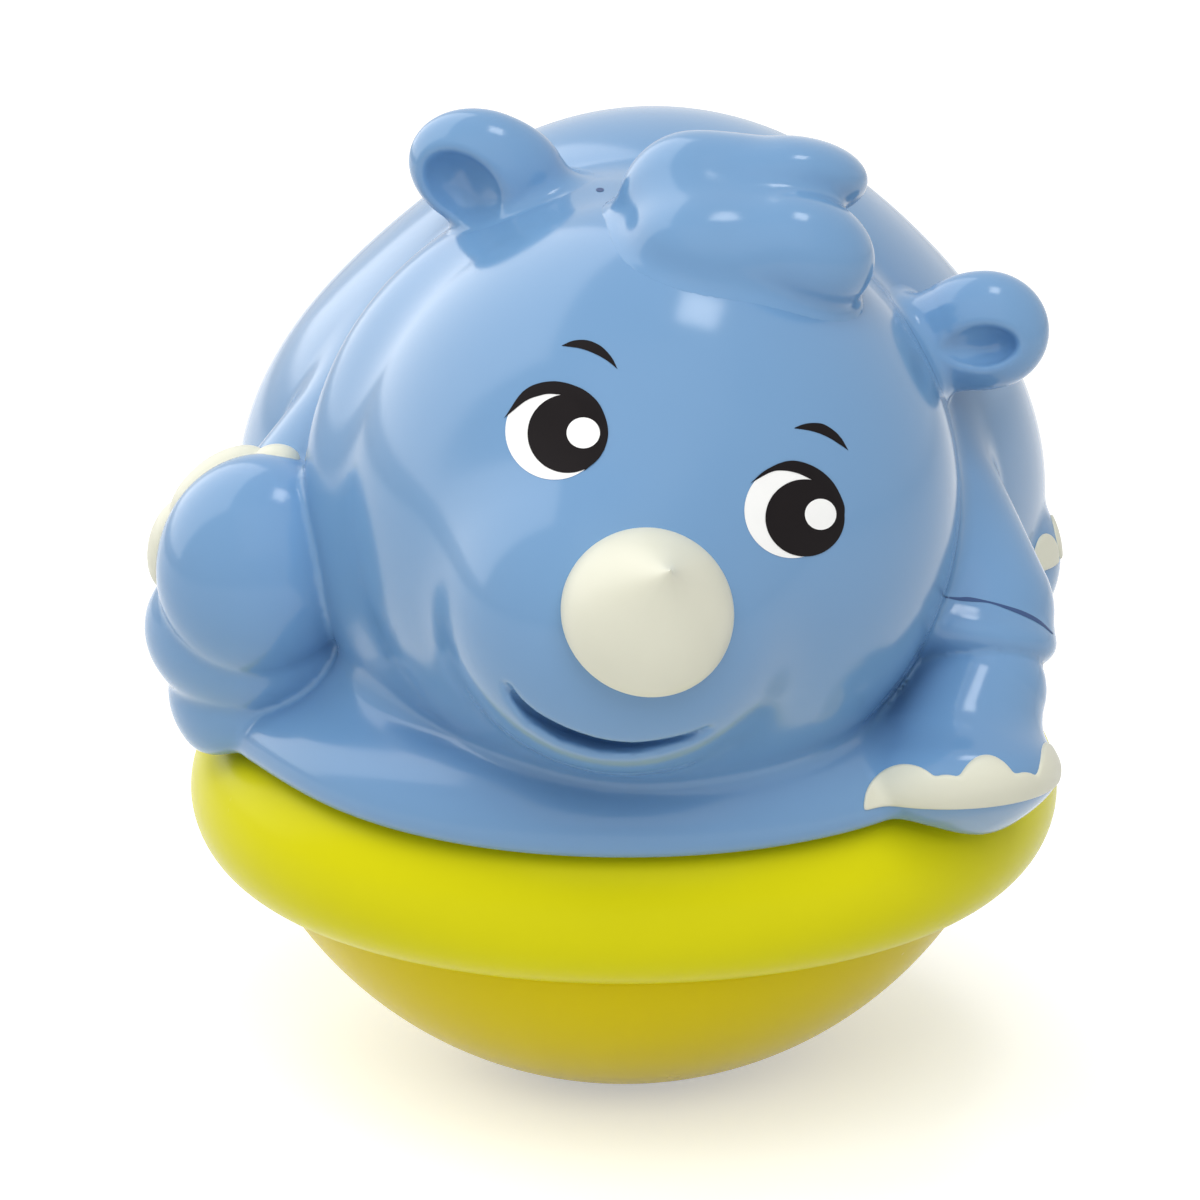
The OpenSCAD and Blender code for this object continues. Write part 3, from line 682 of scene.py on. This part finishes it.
def shell(name, whole, keep, node):
    """One half of the moulding, closed a little under its surface where it meets the other."""
    bm = whole.copy()
    bm.faces.ensure_lookup_table()
    gone = [f for f, kept in zip(bm.faces, keep) if not kept]
    bmesh.ops.delete(bm, geom=gone, context="FACES")
    bm.normal_update()
    rim = [e for e in bm.edges if e.is_boundary]
    inward = {v: -CAP_DEPTH * v.normal for e in rim for v in e.verts}
    for e in rim:
        e.smooth = False
    lip = bmesh.ops.extrude_edge_only(bm, edges=rim)["geom"]
    for v in (g for g in lip if isinstance(g, bmesh.types.BMVert)):
        v.co += next(inward[e.other_vert(v)] for e in v.link_edges if e.other_vert(v) in inward)
    bmesh.ops.holes_fill(bm, edges=[e for e in bm.edges if e.is_boundary], sides=0)
    bmesh.ops.scale(bm, vec=(MM, MM, MM), verts=bm.verts)
    mesh = bpy.data.meshes.new(name)
    bm.to_mesh(mesh)
    bm.free()
    mesh.polygons.foreach_set("use_smooth", [len(p.vertices) <= CAP_SIDES for p in mesh.polygons])
    mesh.materials.append(BLUE)
    obj = bpy.data.objects.new(name, mesh)
    bpy.context.scene.collection.objects.link(obj)
    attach(obj, "toy")
    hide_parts(node)


def lathe(profile, steps, origin=(0, 0, 0), axes=np.eye(3)):
    """Turns a closed (radius, height) profile about the third axis."""
    profile = np.asarray(profile, float)
    a = np.arange(steps) * 2 * np.pi / steps
    ring = np.stack([np.cos(a), np.sin(a)], 1)
    pts = np.concatenate([ring[:, None, :] * profile[None, :, :1],
                          np.broadcast_to(profile[None, :, 1:], (steps, len(profile), 1))], 2)
    n = len(profile)
    i, j = np.meshgrid(np.arange(steps), np.arange(n), indexing="ij")
    i2, j2 = (i + 1) % steps, (j + 1) % n
    quads = np.stack([i * n + j, i2 * n + j, i2 * n + j2, i * n + j2], -1).reshape(-1, 4)
    return np.asarray(origin) + pts.reshape(-1, 3) @ np.asarray(axes).T, quads


def fine(pitch):
    return pitch


def box_of(*places, room):
    """Corners of the box round places, with some room."""
    places = np.array(places)
    return places.min(0) - room, places.max(0) + room


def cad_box(node):
    """Corners of a CAD node in millimetres."""
    return [np.array(corner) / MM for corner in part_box(node)]


ANIMAL_LOW = (-67, -87, 41)
ANIMAL_HIGH = (67, 63, 141)
ANIMAL_PITCH = 0.6


def animal():
    """Both halves of the blue moulding."""
    points, quads = net(animal_form, ANIMAL_LOW, ANIMAL_HIGH, fine(ANIMAL_PITCH))
    whole, front = parted(points, quads)
    shell("animal_front", whole, front, "front_shell")
    shell("animal_rear", whole, ~front, "rear_shell")
    whole.free()


EAR_ROOM = 13
EAR_PITCH = 0.35


def ears():
    for node, (leaf, hollow, stalk, rim) in EARS.items():
        low, high = box_of(leaf[0], stalk[1], room=EAR_ROOM)
        form = ear_form(leaf, hollow, stalk, rim)
        piece(node + "_leaf", *net(form, low, high, fine(EAR_PITCH)), BLUE, "body_blue", node)


# Places that span the tuft, for the box of its net
TUFT_SPAN = (at(790, 254, -42), at(700, 218, -36), at(786, 176, -32))
TUFT_ROOM = 17
TUFT_PITCH = 0.4


def tuft():
    low, high = box_of(*TUFT_SPAN, room=TUFT_ROOM)
    piece("tuft", *net(tuft_form, low, high, fine(TUFT_PITCH)), BLUE, "body_blue", "hair_tuft")


# Places that span the nails of the two forefeet, for the boxes of their nets
PLANTED_SPAN = (at(905, 806, -52), at(981, 803, -48), at(1048, 792, -40))
PLANTED_ROOM = 11
RAISED_SPAN = (at(176, 545, -18), at(218, 487, -18), at(277, 464, -18))
RAISED_ROOM = 10
RAISED_PITCH = 0.3
HIND_ROOM = 8
NAIL_PITCH = 0.25


def nails_planted():
    low, high = box_of(*PLANTED_SPAN, room=PLANTED_ROOM)
    skin = net(nails_planted_form, low, high, fine(NAIL_PITCH))
    piece("nails_planted", *skin, CREAM, "horn_cream", "nails_planted_foot")


def nails_raised():
    low, high = box_of(*RAISED_SPAN, room=RAISED_ROOM)
    skin = net(nails_raised_form, low, high, fine(RAISED_PITCH))
    piece("nails_raised", *skin, CREAM, "horn_cream", "nails_raised_foot")


def nails_hind():
    for side, word in ((-1, "left"), (1, "right")):
        low, high = box_of(*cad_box("nails_hind_" + word), room=HIND_ROOM)
        skin = net(hind_nails_form(side), low, high, fine(NAIL_PITCH))
        piece("nails_hind_" + word + "_skin", *skin, CREAM, "horn_cream", "nails_hind_" + word)


BOWL_R = 56.0
BOWL_TOP_Z = 29.0
BOWL_WALL = 2.4
FOOT_R = 8.0
AXIS_R = 0.01        # radius that stands for the axis, where a profile closes
ARC_STEPS = 60
BOWL_STEPS = 192
TUBE_STEPS = 96
RING_STEPS = 224


def bowl():
    """The round bowl up to its edge under the ring, hollow, on its flat foot."""
    bowl_z = math.sqrt(BOWL_R ** 2 - FOOT_R ** 2)
    rim = math.acos((bowl_z - BOWL_TOP_Z) / BOWL_R)
    foot = math.asin(FOOT_R / BOWL_R)

    def arc(r, start, end):
        return [(r * math.sin(t), bowl_z - r * math.cos(t)) for t in np.linspace(start, end, ARC_STEPS)]

    outer = [(r, max(z, 0.0)) for r, z in arc(BOWL_R, foot, rim)]
    inner = arc(BOWL_R - BOWL_WALL, rim, foot)
    profile = [(AXIS_R, 0.0)] + outer + inner + [(AXIS_R, inner[-1][1])]
    piece("rolling_bowl", *lathe(profile, BOWL_STEPS), BOWL_LIME, "base_lime", "bowl")


def ring():
    turn = np.linspace(0, 2 * np.pi, TUBE_STEPS + 1)[:-1]
    tube = [(RING_R + RING_TUBE_R * math.cos(t), RING_AT[2] + RING_TUBE_R * math.sin(t)) for t in turn]
    piece("round_rim", *lathe(tube, RING_STEPS), LIME, "base_lime", "rim_ring")


HORN_R = 10.6
HORN_L = 17.0
HORN_PITCH = 20.0
HORN_AT = np.array([0.0, -47.8, -14.4])
HORN_POWER = 1.45
HORN_SINK = 6.0      # how deep the horn's foot is in the muzzle
HORN_FOOT = 0.8      # radius of the foot as a share of HORN_R
HORN_STEPS = 96


def horn():
    """A blunt cone on the muzzle."""
    axes = HEAD_AXES @ turned((1, 0, 0), 90 - HORN_PITCH)
    s = np.linspace(0, 1, ARC_STEPS)
    cone = [(max(HORN_R * math.cos(math.pi / 2 * t) ** HORN_POWER, AXIS_R), HORN_L * t) for t in s]
    profile = [(AXIS_R, -HORN_SINK), (HORN_R * HORN_FOOT, -HORN_SINK)] + cone
    piece("horn_cone", *lathe(profile, HORN_STEPS, on_head(HORN_AT), axes), CREAM, "horn_cream", "horn")


# Prints
def dropped(px, py):
    """Points of the animal at pixels, with the surface's outward direction."""
    p = settle(animal_form, met(px, py, animal_form), 1)
    g = slope(animal_form, p)
    return p, g / np.linalg.norm(g, axis=1, keepdims=True)


def smooth_line(points, count):
    """A smooth line of evenly numbered points through a few places."""
    points = np.asarray(points, float)
    ghost = np.concatenate([[2 * points[0] - points[1]], points, [2 * points[-1] - points[-2]]])
    spans = len(points) - 1
    at_t = np.linspace(0, spans, count)
    i = np.minimum(at_t.astype(int), spans - 1)
    f = (at_t - i)[:, None]
    a, b, c, d = ghost[i], ghost[i + 1], ghost[i + 2], ghost[i + 3]
    square, cube = 2 * a - 5 * b + 4 * c - d, 3 * b - 3 * c + d - a
    return 0.5 * (2 * b + (c - a) * f + square * f ** 2 + cube * f ** 3)


def grid_faces(rows, columns):
    i, j = np.meshgrid(np.arange(rows - 1), np.arange(columns - 1), indexing="ij")
    a = i * columns + j
    return np.stack([a, a + columns, a + columns + 1, a + 1], -1).reshape(-1, 4)


def printed(px_grid, height):
    """A grid of pixels laid on the animal at a height over its skin."""
    rows, columns = px_grid.shape[:2]
    p, n = dropped(px_grid[..., 0].ravel(), px_grid[..., 1].ravel())
    return p + n * height, grid_faces(rows, columns)


def strip(one, two, height, along=60, across=7):
    """Print between two lines of the photograph."""
    one, two = smooth_line(one, along), smooth_line(two, along)
    f = np.linspace(0, 1, across)[:, None, None]
    return printed(one[None] * (1 - f) + two[None] * f, height)


DISC_CENTRE = 0.001  # share of the radius where a disc's innermost ring lies


def disc(centre, radii, height, around=72, rings=10):
    """Printed ellipse of the photograph."""
    a = np.linspace(0, 2 * np.pi, around + 1)
    f = np.linspace(DISC_CENTRE, 1, rings)[:, None]
    grid = np.stack([centre[0] + radii[0] * f * np.cos(a), centre[1] + radii[1] * f * np.sin(a)], -1)
    return printed(grid, height)


def merged(parts):
    """Several meshes as one."""
    points, faces, n = [], [], 0
    for p, f in parts:
        points.append(p)
        faces.append(f + n)
        n += len(p)
    return np.concatenate(points), np.concatenate(faces)


EYE_WHITE_PX = [((554.7, 431.1), (49.2, 48.8)), ((792.0, 510.7), (47.8, 47.4))]
PUPIL_PX = [((567.8, 433.9), (40.0, 39.4)), ((804.6, 517.9), (39.6, 38.6))]
GLINT_PX = [((583.5, 433.4), (16.6, 15.5)), ((819.9, 514.3), (15.7, 15.5))]
LID_OUTER_PX = [
    [(504.3, 418.6), (525, 390.2), (552, 381.5), (579, 387.5), (597, 401), (606, 419), (608.2, 435.2),
     (604.2, 449.6), (595.2, 462.2), (584.4, 471.2)],
    [(749.7, 483.7), (766.8, 469.3), (790.2, 460.7), (813.6, 466.6), (831.6, 481), (842.4, 500.8),
     (844.2, 513.4), (840.6, 529.6), (828, 545.8), (804.6, 555.7)],
]
LID_INNER_PX = [
    [(504.3, 418.6), (525, 401.9), (539.4, 396), (552, 394.2), (568.2, 397.4), (580.8, 410), (588, 428),
     (588, 446), (586, 460), (584.4, 471.2)],
    [(749.7, 483.7), (770.4, 472.4), (783, 470.7), (797.4, 473.4), (810, 479.2), (817.7, 483.7), (826, 500),
     (826, 520), (818, 540), (804.6, 555.7)],
]
BROW_UPPER_PX = [
    [(561.9, 345.6), (573, 340.9), (586.2, 340.2), (598, 344.4), (606, 350.6), (613, 359.5), (617.7, 369.5)],
    [(794.3, 427.9), (803, 424.4), (812, 423), (822.6, 424), (833, 430), (841, 438), (848.2, 450.4)],
]
BROW_LOWER_PX = [
    [(561.9, 346), (570, 347), (580, 348.6), (590, 351.8), (600, 356.5), (609, 362.2), (617.7, 369.5)],
    [(794.3, 428.4), (802, 429.4), (811, 431), (821, 434.2), (831, 439), (840, 444.8), (848.2, 450.4)],
]
INK = 0.05           # thickness of one printed layer; pupils lie on the whites and glints on the pupils


def eye_whites():
    whites = [disc(c, r, INK) for c, r in EYE_WHITE_PX] + [disc(c, r, 3 * INK) for c, r in GLINT_PX]
    piece("eye_white_print", *merged(whites), WHITE_INK, "print_white", "eye_whites")


def eye_blacks():
    """Pupils, and the dark sickles over the eyes."""
    blacks = [disc(c, r, 2 * INK) for c, r in PUPIL_PX]
    blacks += [strip(outer, inner, 2 * INK) for outer, inner in zip(LID_OUTER_PX, LID_INNER_PX)]
    piece("eye_black_print", *merged(blacks), BLACK_INK, "print_black", "eye_blacks")


def eyebrows():
    brows = [strip(upper, lower, INK, across=5) for upper, lower in zip(BROW_UPPER_PX, BROW_LOWER_PX)]
    piece("brow_print", *merged(brows), BLACK_INK, "print_black", "eyebrows")


ARM_SEAM_PX = [
    (945, 597), (958, 599), (970, 599.5), (988, 602), (1005, 607), (1024, 614), (1040, 622.5), (1053, 634),
]
SEAM_WIDTH_PX = [0.6, 1.6, 2.2, 1.0, 1.6, 2.4, 2.0, 0.6]
CROWN_SPECK_PX = ((600, 190), (4.0, 2.0))


def seam_lines():
    """The fine dark line where the halves meet on the arm, and a speck of it at the crown."""
    line = np.array(ARM_SEAM_PX, float)
    width = np.array(SEAM_WIDTH_PX)[:, None] * (0.0, 1.0)
    parts = [strip(line - width, line + width, INK, across=4)]
    parts.append(disc(*CROWN_SPECK_PX, INK, around=24, rings=4))
    piece("seam_hairline", *merged(parts), SEAM_DARK, "body_blue")


# Carried-over nodes
CARRIED = {
    "deck": TRAY, "deck_screws": STEEL, "ballast": IRON, "clamp_screws": STEEL, "chime_tray": TRAY,
    "chime_rods": STEEL, "striker_pin": STEEL, "striker": TRAY,
}


def inner_looks():
    """Materials of the inner parts, which keep their CAD meshes."""
    for node, look in CARRIED.items():
        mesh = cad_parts[node].data
        mesh.materials.clear()
        mesh.materials.append(look)


# Stage
def background_share(nodes, links, lighting, seen):
    """A strength that is one value as light on the toy and another where the background itself is seen."""
    path = nodes.new("ShaderNodeLightPath")
    both_rays = nodes.new("ShaderNodeMath")
    both_rays.operation = "MAXIMUM"
    links.new(path.outputs["Is Camera Ray"], both_rays.inputs[0])
    links.new(path.outputs["Is Transmission Ray"], both_rays.inputs[1])
    all_rays = nodes.new("ShaderNodeMath")
    all_rays.operation = "MAXIMUM"
    links.new(both_rays.outputs["Value"], all_rays.inputs[0])
    links.new(path.outputs["Is Glossy Ray"], all_rays.inputs[1])
    strength = nodes.new("ShaderNodeMapRange")
    strength.inputs["To Min"].default_value = lighting
    strength.inputs["To Max"].default_value = seen
    links.new(all_rays.outputs["Value"], strength.inputs["Value"])
    return strength.outputs["Result"]


FLOOR_SIZE = 6.0
FLOOR_GREY = (0.8, 0.8, 0.8, 1)
FLOOR_ROUGH = 0.9
FLOOR_LIFT = 0.45    # white that the floor shows by itself, so that it ends as white as the world
WHITE = (1, 1, 1, 1)


def floor_white():
    """Matt white that shows as white as the world and still takes the toy's shadow."""
    m = bpy.data.materials.new("floor_white")
    m.use_nodes = True
    nodes, links = m.node_tree.nodes, m.node_tree.links
    matt = nodes["Principled BSDF"]
    matt.inputs["Base Color"].default_value = FLOOR_GREY
    matt.inputs["Roughness"].default_value = FLOOR_ROUGH
    matt.inputs["Emission Color"].default_value = WHITE
    links.new(background_share(nodes, links, 0.0, FLOOR_LIFT), matt.inputs["Emission Strength"])
    return m


def floor():
    bpy.ops.mesh.primitive_plane_add(size=FLOOR_SIZE, location=(0, 0, 0))
    ground = bpy.context.object
    ground.name = "floor"
    ground.data.materials.append(floor_white())


WORLD_LIGHT = 0.28
LAMP_AIM = (0, 0, 0.08)
LAMPS = [
    # name, place and size in metres, power in watts, whether the toy mirrors it
    ("side_softbox", (-0.74, 0.5, 0.74), (1.4, 1.4), 9.5, True),
    ("top_softbox", (0.27, -0.03, 1.16), (0.28, 0.22), 1.1, True),
    ("front_softbox", (0.05, -0.85, 1.05), (1.2, 1.2), 13.0, False),
]


def lamp(name, place, size, power, mirrored):
    data = bpy.data.lights.new(name, "AREA")
    data.shape = "RECTANGLE"
    data.size, data.size_y = size
    data.energy = power
    obj = bpy.data.objects.new(name, data)
    obj.location = place
    obj.rotation_euler = (Vector(LAMP_AIM) - Vector(place)).to_track_quat("-Z", "Y").to_euler()
    obj.visible_glossy = mirrored
    bpy.context.scene.collection.objects.link(obj)


def light():
    world = bpy.data.worlds.new("studio")
    bpy.context.scene.world = world
    world.use_nodes = True
    nodes, links = world.node_tree.nodes, world.node_tree.links
    back = nodes["Background"]
    back.inputs["Color"].default_value = WHITE
    links.new(background_share(nodes, links, WORLD_LIGHT, 1.0), back.inputs["Strength"])
    for values in LAMPS:
        lamp(*values)


SENSOR_WIDTH = 36.0


def camera():
    data = bpy.data.cameras.new("photo_camera")
    data.sensor_width = SENSOR_WIDTH
    data.lens = SENSOR_WIDTH * VIEW_FOCAL / PHOTO_SIZE
    obj = bpy.data.objects.new("photo_camera", data)
    obj.location = Vector(EYE * MM)
    obj.rotation_euler = Vector(INTO).to_track_quat("-Z", "Y").to_euler()
    bpy.context.scene.collection.objects.link(obj)
    bpy.context.scene.camera = obj


bpy.context.scene.view_settings.view_transform = "Standard"
animal()
ears()
tuft()
nails_planted()
nails_raised()
nails_hind()
bowl()
ring()
horn()
eye_whites()
eye_blacks()
eyebrows()
seam_lines()
inner_looks()
floor()
light()
camera()
